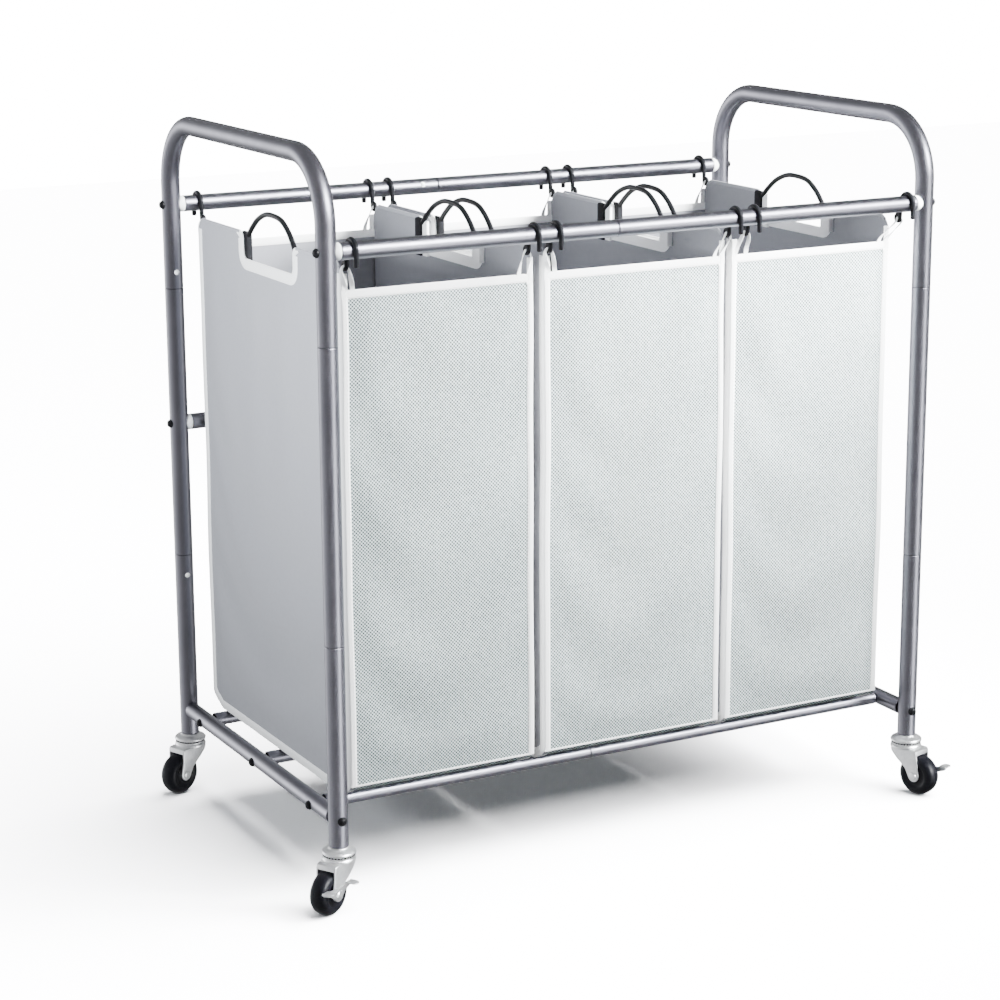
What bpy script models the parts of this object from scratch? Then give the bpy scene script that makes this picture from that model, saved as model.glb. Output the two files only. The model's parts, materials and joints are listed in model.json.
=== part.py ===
"""Rolling laundry sorter: a tubular steel cart on four casters that carries three hook-on fabric bags.

Frame: +X runs along the cart, -Y is the front, +Z is up. The origin is on the floor, midway between
the four posts. Units are metres.
"""

import math

import bmesh
import bpy
from mathutils import Matrix, Vector

# ---- driving dimensions ----------------------------------------------------------------------

POST_X = 0.3825  # post axes, left and right of the centre
POST_Y = 0.2175  # post axes, in front of and behind the centre
POST_RADIUS = 0.011
RAIL_RADIUS = 0.0095  # top rails, middle rail and side tubes
BASE_RADIUS = 0.008  # base rails under the bags
TUBE_WALL = 0.0010
GAP = 0.0003  # clearance kept between touching pieces
CLEAR = 0.01  # how far a cutter reaches past what it cuts

HANDLE_Z = 0.8218  # axis of the handle bars
HANDLE_BEND = 0.072  # bend radius on the tube's axis
UPPER_JOINT_Z = 0.6255  # handle tube meets middle post
LOWER_JOINT_Z = 0.3000  # middle post meets leg
LEG_BOTTOM_Z = 0.0725
SPIGOT_LENGTH = 0.040  # reduced end that slides into the next tube
SPIGOT_THROAT = 0.006  # the narrow bore of a reduced end runs on this far behind its shoulder

TOP_RAIL_Z = 0.7243
MIDDLE_RAIL_Z = 0.4622
BASE_Z = 0.1035  # side tubes and base rails
BASE_RAIL_Y = {"front": -0.160, "middle": 0.0, "rear": 0.160}
RAIL_JOINT_X = -0.035  # every long rail is two tubes that meet here

WHEEL_RADIUS = 0.025
WHEEL_HALF_WIDTH = 0.010
HUB_RADIUS = 0.0085
HUB_HALF_WIDTH = 0.0106
TRAIL = 0.021  # axle's offset from the swivel axis
AXLE_RADIUS = 0.003
ARM_INNER = 0.0112  # inside face of a fork arm
ARM_OUTER = 0.0132
CROWN_Z = 0.0575  # top of the fork's crown
CROWN_THICKNESS = 0.002
RACE_RADIUS = 0.0180
RACE_Z = 0.0632  # top of the lower bearing race
RACE_SLOPE = 0.0030  # the upper race narrows as it rises
KINGPIN_RADIUS = 0.004
KINGPIN_HEAD_RADIUS = 0.0062
KINGPIN_HEAD = 0.0022
NECK_RADIUS = 0.0065
STEM_COLLAR = 0.002  # thickness of the shoulder under the leg
STEM_PLUG = 0.022  # length of the stem's plug inside the leg
ARM_END_RADIUS = 0.0075  # rounded end of a fork arm, about the axle
LIP_Z = 0.0515  # lower edge of the crown's front lip
LIP_X = 0.0225  # its inside face
RIVET_RADIUS = 0.0050
RIVET_HEAD = 0.0015
PEDAL_INNER = 0.0135  # brake plate, between the fork arm and the rivet head
PEDAL_OUTER = 0.0150
PEDAL_WIDTH_OUT = 0.0270  # how far the foot ears stand out
PEDAL_THICKNESS = 0.0015
# Each foot ear's span along the pedal, and its top face's height over the axle
PEDAL_EARS = {"rear": (-0.0240, -0.0130, 0.0105), "front": (0.0190, 0.0300, 0.0110)}

BAG_SPANS = {"left": (-0.3575, -0.1275), "middle": (-0.1140, 0.1200), "right": (0.1290, 0.3480)}
BAG_HALF_DEPTH = 0.198
BAG_WALL = 0.002
BAG_BOTTOM_Z = 0.1120
BAG_EDGE_Z = 0.124  # front and rear bottom edges, pulled up by the hooks
BAG_FLAT_HALF = 0.170  # half depth of the floor that rests on the base rails
BAG_FRONT_TOP_Z = 0.680
EAR_WIDTH = 0.020  # the front and rear panels rise to the hooks at their corners
EAR_TOP_Z = 0.703
BAG_SIDE_TOP_Z = 0.710
CORNER_CUT = 0.013  # slanted top corners of the side panels
CUT_OUT_FRONT_Y = -0.0755  # the hand cut-out's two upright sides and its floor
CUT_OUT_REAR_Y = 0.0645
CUT_OUT_Z = 0.679
CUT_OUT_CORNER = 0.008

HOOK_RADIUS = 0.00225
HOOK_BEND = 0.0124
HOOK_TIP_Z = 0.7068
HOOK_LEAN = 0.0042  # the leg on the bag's side leans in until its tip meets the bag's corner
HOOK_X = {
    "left": ((-0.3534, -0.1367), (-0.3494, -0.1270)),
    "middle": ((-0.1096, 0.1210), (-0.1000, 0.1210)),
    "right": ((0.1458, 0.3583), (0.1530, 0.3496)),
}

LOOP_RADIUS = 0.0025
LOOP_FRONT_Y = -0.0780
LOOP_REAR_Y = 0.0640
LOOP_SHOULDER_Z = 0.7060
LOOP_FOOT_Z = 0.6860
LOOP_TOP_Z = 0.7365
LOOP_FULLNESS = 2.2  # power of the arch: above 2 its crown is flatter than a parabola's
LOOP_STEPS = 10

# Casters: post position, and the compass direction in which each one trails at rest.
CASTERS = {
    "front_left": (-POST_X, -POST_Y, -151.1),
    "front_right": (POST_X, -POST_Y, -72.6),
    "rear_left": (-POST_X, POST_Y, -156.5),
    "rear_right": (POST_X, POST_Y, 45.0),
}

TUBE_STEPS = 16  # sides of a tube, whose bevel resolution is half of this less two
WIRE_RESOLUTION = 1  # bevel resolution of the wires, which gives them six sides


# ---- scene and materials ---------------------------------------------------------------------


def clear_scene():
    for item in list(bpy.data.objects):
        bpy.data.objects.remove(item, do_unlink=True)
    for name in ("laundry_cart", "cutters"):
        collection = bpy.data.collections.new(name)
        bpy.context.scene.collection.children.link(collection)


def principled(name, colour, roughness, metallic=0.0):
    material = bpy.data.materials.new(name)
    material.use_nodes = True
    shader = material.node_tree.nodes["Principled BSDF"]
    shader.inputs["Base Color"].default_value = (*colour, 1.0)
    shader.inputs["Roughness"].default_value = roughness
    shader.inputs["Metallic"].default_value = metallic
    material.diffuse_color = (*colour, 1.0)
    return material


def make_materials():
    return {
        "frame": principled("frame_paint", (0.33, 0.33, 0.35), 0.35, 0.8),
        "zinc": principled("zinc_plate", (0.62, 0.62, 0.64), 0.30, 1.0),
        "wheel": principled("black_wheel", (0.012, 0.012, 0.014), 0.30),
        "wire": principled("black_wire", (0.010, 0.010, 0.011), 0.35),
        "fabric": principled("bag_fabric", (0.62, 0.65, 0.65), 0.90),
    }


def add_object(name, data, material=None, parent=None, collection="laundry_cart"):
    item = bpy.data.objects.new(name, data)
    bpy.data.collections[collection].objects.link(item)
    if material is not None:
        data.materials.append(material)
    if parent is not None:
        item.parent = parent
    return item


def mesh_object(name, bm, material=None, parent=None, collection="laundry_cart"):
    mesh = bpy.data.meshes.new(name)
    bm.to_mesh(mesh)
    bm.free()
    return add_object(name, mesh, material, parent, collection)


def add_cutter(name, bm, parent=None):
    cutter = mesh_object(name, bm, parent=parent, collection="cutters")
    cutter.hide_render = True
    cutter.display_type = "WIRE"
    return cutter


def add_boolean(item, cutter, operation="DIFFERENCE"):
    modifier = item.modifiers.new(cutter.name, "BOOLEAN")
    modifier.operation = operation
    modifier.object = cutter


def smooth(item, degrees=35.0):
    item.data.shade_smooth()
    item.data.set_sharp_from_angle(angle=math.radians(degrees))


# ---- shared shapes ---------------------------------------------------------------------------


def poly_curve(name, points, radius, resolution, material, parent=None):
    """A round bar or tube wall swept along straight runs between the points."""
    curve = bpy.data.curves.new(name, "CURVE")
    curve.dimensions = "3D"
    curve.bevel_depth = radius
    curve.bevel_resolution = resolution
    spline = curve.splines.new("POLY")
    spline.points.add(len(points) - 1)
    for slot, point in zip(spline.points, points):
        slot.co = (*point, 1.0)
    spline.use_smooth = True
    return add_object(name, curve, material, parent)


def tube(name, points, radius, material):
    """A hollow tube, open at both ends."""
    item = poly_curve(name, points, radius, TUBE_STEPS // 2 - 2, material)
    shell = item.modifiers.new("wall", "SOLIDIFY")
    shell.thickness = TUBE_WALL
    shell.offset = -1.0
    return item


def wire(name, points, radius, material, parent=None):
    item = poly_curve(name, points, radius, WIRE_RESOLUTION, material, parent)
    item.data.use_fill_caps = True
    return item


def turned(name, profile, steps, material, parent=None, closed=False):
    """A profile of (radius, height) points, turned about local Z. It runs down its outer side."""
    bm = bmesh.new()
    verts = [bm.verts.new((radius, 0.0, height)) for radius, height in profile]
    for first, second in zip(verts, verts[1:]):
        bm.edges.new((first, second))
    if closed:
        bm.edges.new((verts[-1], verts[0]))
    item = mesh_object(name, bm, material, parent)
    screw = item.modifiers.new("turn", "SCREW")
    screw.steps = steps
    screw.render_steps = steps
    screw.use_merge_vertices = True
    screw.merge_threshold = 0.00001
    screw.use_smooth_shade = True
    return item


def extruded(outline, low, high, axis):
    """A bmesh prism. The outline's two numbers are the other two axes in order; it spans low to high."""
    bm = bmesh.new()
    others = [index for index in range(3) if index != axis]
    verts = []
    for first, second in outline:
        place = [0.0, 0.0, 0.0]
        place[axis] = low
        place[others[0]] = first
        place[others[1]] = second
        verts.append(bm.verts.new(place))
    face = bm.faces.new(verts)
    rise = [0.0, 0.0, 0.0]
    rise[axis] = high - low
    made = bmesh.ops.extrude_face_region(bm, geom=[face])
    moved = [part for part in made["geom"] if isinstance(part, bmesh.types.BMVert)]
    bmesh.ops.translate(bm, verts=moved, vec=rise)
    bmesh.ops.recalc_face_normals(bm, faces=bm.faces)
    return bm


def box(low, high):
    bm = bmesh.new()
    bmesh.ops.create_cube(bm, size=1.0)
    size = Vector(high) - Vector(low)
    bmesh.ops.scale(bm, verts=bm.verts, vec=size)
    bmesh.ops.translate(bm, verts=bm.verts, vec=Vector(low) + size / 2)
    return bm


def rod(radius, low, high, axis, centre, segments=16):
    """A solid cylinder along a local axis (1 is Y, 2 is Z), through a centre point."""
    bm = bmesh.new()
    bmesh.ops.create_cone(
        bm, cap_ends=True, segments=segments, radius1=radius, radius2=radius, depth=high - low
    )
    if axis == 1:
        bmesh.ops.rotate(bm, verts=bm.verts, matrix=Matrix.Rotation(-math.pi / 2, 3, "X"))
    place = Vector(centre)
    place[axis] = (low + high) / 2
    bmesh.ops.translate(bm, verts=bm.verts, vec=place)
    return bm


def arc(centre, radius, start, end, steps):
    """Points on a circle, from the start angle to the end angle in degrees, both included."""
    points = []
    for step in range(steps + 1):
        angle = math.radians(start + (end - start) * step / steps)
        points.append((centre[0] + radius * math.cos(angle), centre[1] + radius * math.sin(angle)))
    return points


# ---- frame -----------------------------------------------------------------------------------


def handle_tube(side, x, material):
    """An upside-down U that joins the front and rear posts and forms the push handle."""
    inset = POST_Y - HANDLE_BEND
    rise = HANDLE_Z - HANDLE_BEND
    outline = [(POST_Y, UPPER_JOINT_Z)]
    outline += arc((inset, rise), HANDLE_BEND, 0.0, 90.0, 6)
    outline += arc((-inset, rise), HANDLE_BEND, 90.0, 180.0, 6)
    outline += [(-POST_Y, UPPER_JOINT_Z)]
    tube(f"handle_tube_{side}", [(x, y, z) for y, z in outline], POST_RADIUS, material)


def middle_post(place, x, y, material):
    """A straight post with a reduced spigot at each end, inside the handle tube and the leg."""
    spigot = POST_RADIUS - TUBE_WALL - GAP
    top = UPPER_JOINT_Z - GAP
    bottom = LOWER_JOINT_Z + GAP
    bore = spigot - TUBE_WALL
    profile = [
        (spigot, top + SPIGOT_LENGTH),
        (spigot, top),
        (POST_RADIUS, top - GAP),
        (POST_RADIUS, bottom + GAP),
        (spigot, bottom),
        (spigot, bottom - SPIGOT_LENGTH),
        (bore, bottom - SPIGOT_LENGTH),
        (bore, top + SPIGOT_LENGTH),
    ]
    post = turned(f"middle_post_{place}", profile, TUBE_STEPS, material, closed=True)
    post.location = (x, y, 0.0)


def leg(place, x, y, material):
    tube(f"leg_{place}", [(x, y, LEG_BOTTOM_Z), (x, y, LOWER_JOINT_Z)], POST_RADIUS, material)


def long_rail(name, y, z, radius, reach, material):
    """Two tubes end to end: the right one has a spigot that slides into the left one."""
    left_end = RAIL_JOINT_X - GAP
    tube(f"{name}_left_half", [(-reach, y, z), (left_end, y, z)], radius, material)
    spigot = radius - TUBE_WALL - GAP
    profile = [
        (radius, reach),
        (radius, RAIL_JOINT_X + GAP),
        (spigot, RAIL_JOINT_X),
        (spigot, RAIL_JOINT_X - SPIGOT_LENGTH),
        (spigot - TUBE_WALL, RAIL_JOINT_X - SPIGOT_LENGTH),
        (spigot - TUBE_WALL, RAIL_JOINT_X + SPIGOT_THROAT),
        (radius - TUBE_WALL, RAIL_JOINT_X + SPIGOT_THROAT + TUBE_WALL),
        (radius - TUBE_WALL, reach),
    ]
    right = turned(f"{name}_right_half", profile, TUBE_STEPS, material, closed=True)
    right.rotation_euler = (0.0, math.pi / 2, 0.0)
    right.location = (0.0, y, z)


def build_frame(materials):
    paint = materials["frame"]
    for side, x in (("left", -POST_X), ("right", POST_X)):
        handle_tube(side, x, paint)
        reach = POST_Y - POST_RADIUS - GAP
        tube(f"side_tube_{side}", [(x, -reach, BASE_Z), (x, reach, BASE_Z)], RAIL_RADIUS, paint)
    for place, (x, y, _) in CASTERS.items():
        middle_post(place, x, y, paint)
        leg(place, x, y, paint)
    reach = POST_X - POST_RADIUS - GAP
    long_rail("top_rail_front", -POST_Y, TOP_RAIL_Z, RAIL_RADIUS, reach, paint)
    long_rail("top_rail_rear", POST_Y, TOP_RAIL_Z, RAIL_RADIUS, reach, paint)
    long_rail("middle_rail_rear", POST_Y, MIDDLE_RAIL_Z, RAIL_RADIUS, reach, paint)
    reach = POST_X - RAIL_RADIUS - GAP
    for place, y in BASE_RAIL_Y.items():
        long_rail(f"base_rail_{place}", y, BASE_Z, BASE_RADIUS, reach, paint)


# ---- casters ---------------------------------------------------------------------------------
# Each caster is built about its own swivel axis: local X is the way it trails, local Y its axle.


def caster_stem(place, pivot, material):
    """Plug inside the leg, nut, upper race and kingpin. It stays with the frame."""
    plug = POST_RADIUS - TUBE_WALL - GAP
    roof = CROWN_Z - CROWN_THICKNESS
    profile = [
        (0.0, LEG_BOTTOM_Z + STEM_PLUG),
        (plug, LEG_BOTTOM_Z + STEM_PLUG),
        (plug, LEG_BOTTOM_Z - GAP),
        (POST_RADIUS, LEG_BOTTOM_Z - GAP),
        (POST_RADIUS, LEG_BOTTOM_Z - STEM_COLLAR),
        (NECK_RADIUS, LEG_BOTTOM_Z - STEM_COLLAR),
        (NECK_RADIUS, RACE_Z + RACE_SLOPE + 0.0010),
        (RACE_RADIUS - 0.0010, RACE_Z + RACE_SLOPE),
        (RACE_RADIUS, RACE_Z + GAP),
        (KINGPIN_RADIUS, RACE_Z + GAP),
        (KINGPIN_RADIUS, roof - GAP),
        (KINGPIN_HEAD_RADIUS, roof - GAP),
        (KINGPIN_HEAD_RADIUS, roof - GAP - KINGPIN_HEAD),
        (0.0, roof - GAP - KINGPIN_HEAD),
    ]
    turned(f"caster_stem_{place}", profile, 14, material, pivot)


def caster_fork(place, pivot, head_face, material):
    """Stamped fork: crown, front lip and two arms, with the lower race and the axle rivet in one."""
    tip = arc((TRAIL, WHEEL_RADIUS), ARM_END_RADIUS, 15.0, -155.0, 6)
    outline = [(-0.0135, CROWN_Z), (0.0245, CROWN_Z), (0.0250, 0.0460)]
    outline += tip
    outline += [(0.0060, 0.0345), (-0.0020, 0.0410), (-0.0095, 0.0465), (-0.0132, 0.0520)]
    fork = mesh_object(
        f"caster_fork_{place}", extruded(outline, -ARM_OUTER, ARM_OUTER, 1), material, pivot
    )
    under = CROWN_Z - CROWN_THICKNESS
    reach = TRAIL + WHEEL_RADIUS
    below = box((-reach, -ARM_INNER, 0.0), (reach, ARM_INNER, LIP_Z))
    behind = box((-reach, -ARM_INNER, LIP_Z - GAP), (LIP_X, ARM_INNER, under))
    add_boolean(fork, add_cutter(f"fork_gap_{place}", below, pivot))
    add_boolean(fork, add_cutter(f"fork_roof_{place}", behind, pivot))
    race = rod(RACE_RADIUS, under + GAP, RACE_Z, 2, (0, 0, 0), 16)
    add_boolean(fork, add_cutter(f"lower_race_{place}", race, pivot), "UNION")
    pin_hole = rod(KINGPIN_RADIUS + GAP, LIP_Z, RACE_Z + CLEAR, 2, (0, 0, 0), 12)
    add_boolean(fork, add_cutter(f"pin_hole_{place}", pin_hole, pivot))
    centre = (TRAIL, 0, WHEEL_RADIUS)
    axle = rod(AXLE_RADIUS, -ARM_OUTER - GAP, head_face + GAP, 1, centre, 12)
    add_boolean(fork, add_cutter(f"axle_{place}", axle, pivot), "UNION")
    for end, low, high in (
        ("inner", -ARM_OUTER - RIVET_HEAD, -ARM_OUTER + GAP),
        ("outer", head_face, head_face + RIVET_HEAD),
    ):
        head = rod(RIVET_RADIUS, low, high, 1, centre, 12)
        add_boolean(fork, add_cutter(f"rivet_{end}_{place}", head, pivot), "UNION")


def caster_wheel(place, axle, material):
    """A solid wheel with a full round tread and smooth sides, on a plain bore."""
    half = [
        (AXLE_RADIUS + GAP, HUB_HALF_WIDTH),
        (HUB_RADIUS, HUB_HALF_WIDTH),
        (HUB_RADIUS + 0.0015, WHEEL_HALF_WIDTH - 0.0006),
        (WHEEL_RADIUS - 0.0060, WHEEL_HALF_WIDTH),
        (WHEEL_RADIUS - 0.0025, WHEEL_HALF_WIDTH - 0.0018),
        (WHEEL_RADIUS, WHEEL_HALF_WIDTH - 0.0060),
    ]
    profile = half + [(radius, -width) for radius, width in reversed(half)]
    wheel = turned(f"caster_wheel_{place}", profile, 22, material, axle, closed=True)
    wheel.rotation_euler = (-math.pi / 2, 0.0, 0.0)


def brake_pedal(place, axle, material):
    """A rocker plate on the axle rivet, with two foot ears bent outwards."""
    outline = [
        (-0.0240, 0.0080),
        (-0.0105, 0.0030),
        *arc((0.0, 0.0), 0.0075, 200.0, 340.0, 5),
        (0.0160, 0.0030),
        (0.0300, 0.0085),
        (0.0300, 0.0115),
        (0.0150, 0.0095),
        (0.0, 0.0085),
        (-0.0140, 0.0100),
        (-0.0240, 0.0110),
    ]
    pedal = mesh_object(
        f"brake_pedal_{place}", extruded(outline, PEDAL_INNER, PEDAL_OUTER, 1), material, axle
    )
    for end, (low_x, high_x, top) in PEDAL_EARS.items():
        ear = box((low_x, PEDAL_INNER + GAP, top - PEDAL_THICKNESS), (high_x, PEDAL_WIDTH_OUT, top))
        add_boolean(pedal, add_cutter(f"ear_{end}_{place}", ear, axle), "UNION")
    hole = rod(AXLE_RADIUS + GAP, 0.0, PEDAL_OUTER + CLEAR, 1, (0, 0, 0), 12)
    add_boolean(pedal, add_cutter(f"pedal_hole_{place}", hole, axle))


def build_casters(materials):
    for place, (x, y, degrees) in CASTERS.items():
        pivot = add_object(f"swivel_axis_{place}", None)
        pivot.location = (x, y, 0.0)
        pivot.rotation_euler = (0.0, 0.0, math.radians(degrees))
        axle = add_object(f"axle_axis_{place}", None, parent=pivot)
        axle.location = (TRAIL, 0.0, WHEEL_RADIUS)
        braked = place.startswith("front")
        head_face = PEDAL_OUTER + GAP if braked else ARM_OUTER - GAP
        caster_stem(place, pivot, materials["zinc"])
        caster_fork(place, pivot, head_face, materials["zinc"])
        caster_wheel(place, axle, materials["wheel"])
        if braked:
            brake_pedal(place, axle, materials["zinc"])


# ---- bags ------------------------------------------------------------------------------------


def bag_outline(inset):
    """The bag from its side, as (y, z) points: flat floor, raised front and rear bottom edges."""
    depth = BAG_HALF_DEPTH - inset
    flat = BAG_FLAT_HALF - inset
    top = BAG_SIDE_TOP_Z
    if inset:
        return [
            (-depth, top + CLEAR),
            (-depth, BAG_EDGE_Z + inset),
            (-flat, BAG_BOTTOM_Z + inset),
            (flat, BAG_BOTTOM_Z + inset),
            (depth, BAG_EDGE_Z + inset),
            (depth, top + CLEAR),
        ]
    return [
        (-depth, top - CORNER_CUT),
        (-depth, BAG_EDGE_Z),
        (-flat, BAG_BOTTOM_Z),
        (flat, BAG_BOTTOM_Z),
        (depth, BAG_EDGE_Z),
        (depth, top - CORNER_CUT),
        (depth - CORNER_CUT, top),
        (-depth + CORNER_CUT, top),
    ]


def bag(place, material):
    """An open bag: low front and rear panels, taller side panels with a hand cut-out in each."""
    left, right = BAG_SPANS[place]
    item = mesh_object(f"bag_{place}", extruded(bag_outline(0.0), left, right, 0), material)
    inner = extruded(bag_outline(BAG_WALL), left + BAG_WALL, right - BAG_WALL, 0)
    add_boolean(item, add_cutter(f"bag_inside_{place}", inner))
    rim = BAG_SIDE_TOP_Z + 2 * CLEAR
    rim_line = [
        (left + EAR_WIDTH, BAG_FRONT_TOP_Z),
        (right - EAR_WIDTH, BAG_FRONT_TOP_Z),
        (right - BAG_WALL, EAR_TOP_Z),
        (right - BAG_WALL, rim),
        (left + BAG_WALL, rim),
        (left + BAG_WALL, EAR_TOP_Z),
    ]
    add_boolean(item, add_cutter(f"bag_rim_{place}", extruded(rim_line, -POST_Y, POST_Y, 1)))
    corner = CUT_OUT_CORNER
    floor = CUT_OUT_Z + corner
    outline = [(CUT_OUT_REAR_Y, rim)]
    outline += arc((CUT_OUT_REAR_Y - corner, floor), corner, 0.0, -90.0, 3)
    outline += arc((CUT_OUT_FRONT_Y + corner, floor), corner, -90.0, -180.0, 3)
    outline += [(CUT_OUT_FRONT_Y, rim)]
    notch = extruded(outline, left - CLEAR, right + CLEAR, 0)
    add_boolean(item, add_cutter(f"hand_cut_out_{place}", notch))


def bag_hook(name, x, side, material):
    """An upside-down U of wire over the rail. side is -1 at the front rail and +1 at the rear."""
    outline = [(HOOK_BEND, HOOK_TIP_Z - TOP_RAIL_Z)]
    outline += arc((0.0, 0.0), HOOK_BEND, 0.0, 180.0, 8)
    outline += [(-HOOK_BEND - HOOK_LEAN, HOOK_TIP_Z - TOP_RAIL_Z)]
    points = [(x, side * (POST_Y + y), TOP_RAIL_Z + z) for y, z in outline]
    wire(name, points, HOOK_RADIUS, material)


def carry_loop(name, x, material):
    """A stiff arched grip that stands in the side panel's cut-out."""
    rise = LOOP_TOP_Z - LOOP_SHOULDER_Z
    middle = (LOOP_FRONT_Y + LOOP_REAR_Y) / 2
    half_span = (LOOP_REAR_Y - LOOP_FRONT_Y) / 2
    points = [(x, LOOP_REAR_Y, LOOP_FOOT_Z)]
    for step in range(LOOP_STEPS + 1):
        share = 1.0 - 2.0 * step / LOOP_STEPS
        height = LOOP_SHOULDER_Z + rise * (1.0 - abs(share) ** LOOP_FULLNESS)
        points.append((x, middle + half_span * share, height))
    points.append((x, LOOP_FRONT_Y, LOOP_FOOT_Z))
    wire(name, points, LOOP_RADIUS, material)


def build_bags(materials):
    for place, (left, right) in BAG_SPANS.items():
        bag(place, materials["fabric"])
        for side_name, side, row in (("front", -1, 0), ("rear", 1, 1)):
            for end, x in zip(("left", "right"), HOOK_X[place][row]):
                bag_hook(f"hook_{place}_bag_{side_name}_{end}", x, side, materials["wire"])
        inset = BAG_WALL + LOOP_RADIUS + GAP
        for end, x in (("left", left + inset), ("right", right - inset)):
            carry_loop(f"carry_loop_{place}_bag_{end}", x, materials["wire"])


# ---- build -----------------------------------------------------------------------------------


def main():
    clear_scene()
    materials = make_materials()
    build_frame(materials)
    build_casters(materials)
    build_bags(materials)
    for item in bpy.data.collections["laundry_cart"].objects:
        if item.type == "MESH":
            smooth(item)


main()
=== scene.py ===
"""Looks of the rolling laundry sorter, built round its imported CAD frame.

Metres, +Z up, -Y is the front.
"""

import json
import math

import bmesh
import bpy
import numpy as np
from mathutils import Matrix, Vector


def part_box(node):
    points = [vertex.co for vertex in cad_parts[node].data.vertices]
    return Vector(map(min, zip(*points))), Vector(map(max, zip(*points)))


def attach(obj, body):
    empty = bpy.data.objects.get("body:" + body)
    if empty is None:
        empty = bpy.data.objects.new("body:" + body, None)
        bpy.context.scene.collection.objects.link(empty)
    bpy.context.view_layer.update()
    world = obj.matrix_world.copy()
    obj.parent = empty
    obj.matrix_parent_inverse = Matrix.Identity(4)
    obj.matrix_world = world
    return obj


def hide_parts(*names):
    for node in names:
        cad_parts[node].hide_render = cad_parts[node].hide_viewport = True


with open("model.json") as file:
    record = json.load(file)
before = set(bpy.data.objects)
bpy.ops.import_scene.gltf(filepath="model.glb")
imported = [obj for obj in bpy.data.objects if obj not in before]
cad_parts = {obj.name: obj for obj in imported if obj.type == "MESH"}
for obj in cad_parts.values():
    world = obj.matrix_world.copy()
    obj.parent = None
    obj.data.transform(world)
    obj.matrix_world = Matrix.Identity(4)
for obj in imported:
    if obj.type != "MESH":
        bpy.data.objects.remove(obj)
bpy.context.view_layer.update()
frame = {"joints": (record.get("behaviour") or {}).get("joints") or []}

X, Y, Z = np.eye(3)
SIDES = (("left", -1), ("right", 1))
PLACES = ("front_left", "front_right", "rear_left", "rear_right")

# Tube frame
TUBE_WALL = 0.0010
CHAMFER = 0.0006  # broken edge at each tube end
SPIGOT = 0.040  # reduced end that slides into the next tube
FIT = 0.0003  # clearance between a spigot and its socket
HANDLE_BEND = 0.072
PLUG_LENGTH = 0.0035  # white end plug between a rail and its post
BUTTON_RISE = 0.0016

# Bags: how the cloth is cut and bound
CLOTH = 0.0012
FLAT_HALF = 0.170  # half depth of the floor that lies on the base rails
EDGE_RISE = 0.012  # the front and rear bottom edges are pulled up this far
RIM_DROP = 0.0310  # front and rear rims, below the top of the side panels
CUT_FRONT = -0.0755  # the hand cut-out's two upright sides
CUT_REAR = 0.0645
CUT_INNER = 0.0090  # radius of its lower corners, and of the rounded ears beside it
CUT_OUTER = 0.0080
CORNER_BACK = 0.0065  # the side panels' top corners are cut off by this much
CORNER_DROP = 0.0045
EAR_BACK = 0.0040  # the panel's corners at the cut-out, hidden in the rounded ears
EAR_DROP = 0.0025
EAR_REACH = 0.0070  # the cut-out's tape runs on past each rounded ear
TAPE = 0.0007
TAPE_FRONT = 0.0070  # tape width on the front and rear panels
TAPE_SIDE = 0.0105  # tape width on the side panels
RIM_TAPE = 0.0080
BAND = 0.0115  # tape width round the hand cut-out
HEM = 0.0030  # folded hem on top of the side panels
STITCH = 0.0034
STITCH_GAP = 0.0016
SEAM_INSET = 0.0022  # from a tape's inner edge to its row of stitches


# ---- shapes as (points, faces) ----


def node_box(node):
    """A node's lowest and highest corners."""
    return (np.array(corner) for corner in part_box(node))


def ring_faces(rings, steps, closed=False):
    """Quads between rings of points, and a cap on each end unless the rings close on themselves."""
    faces = []
    for ring in range(rings if closed else rings - 1):
        first, second = ring * steps, (ring + 1) % rings * steps
        for step in range(steps):
            after = (step + 1) % steps
            faces.append((first + step, first + after, second + after, second + step))
    if not closed:
        faces.append(tuple(range(steps))[::-1])
        faces.append(tuple(range((rings - 1) * steps, rings * steps)))
    return faces


def unit(vector):
    return vector / max(np.linalg.norm(vector), 1e-12)


def reaches(path):
    """How far along the path each of its points is."""
    steps = np.linalg.norm(np.diff(np.array(path, float), axis=0), axis=1)
    return np.concatenate([[0.0], np.cumsum(steps)])


def pipe(path, stations, side, steps=40):
    """Round rings along a path. stations are (distance along it, radius); side is square to the path."""
    path, reach = np.array(path, float), reaches(path)

    def at(distance):
        if distance < 0.0:
            return path[0] + distance * unit(path[1] - path[0])
        if distance > reach[-1]:
            return path[-1] + (distance - reach[-1]) * unit(path[-1] - path[-2])
        return np.array([np.interp(distance, reach, path[:, axis]) for axis in range(3)])

    turn = np.linspace(0.0, 2.0 * math.pi, steps, endpoint=False)[:, None]
    rings = []
    for distance, radius in stations:
        tangent = unit(at(distance + 0.0004) - at(distance - 0.0004))
        across = np.cross(tangent, side)
        rings.append(at(distance) + radius * (np.cos(turn) * side + np.sin(turn) * across))
    return np.concatenate(rings), ring_faces(len(stations), steps)


def lathe(profile, steps=40, closed=False):
    """(radius, height) points turned about Z."""
    turn = np.linspace(0.0, 2.0 * math.pi, steps, endpoint=False)
    rings = [
        np.stack([radius * np.cos(turn), radius * np.sin(turn), np.full(steps, height)], axis=1)
        for radius, height in profile
    ]
    return np.concatenate(rings), ring_faces(len(profile), steps, closed)


def ribbon(path, first, second, section):
    """A section of (a, b) points swept along a path, with a along first and b along second."""
    section = np.array(section)
    ways = zip(path, np.broadcast_to(first, path.shape), np.broadcast_to(second, path.shape))
    rings = [point + section[:, :1] * one + section[:, 1:] * two for point, one, two in ways]
    return np.concatenate(rings), ring_faces(len(path), len(section))


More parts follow.
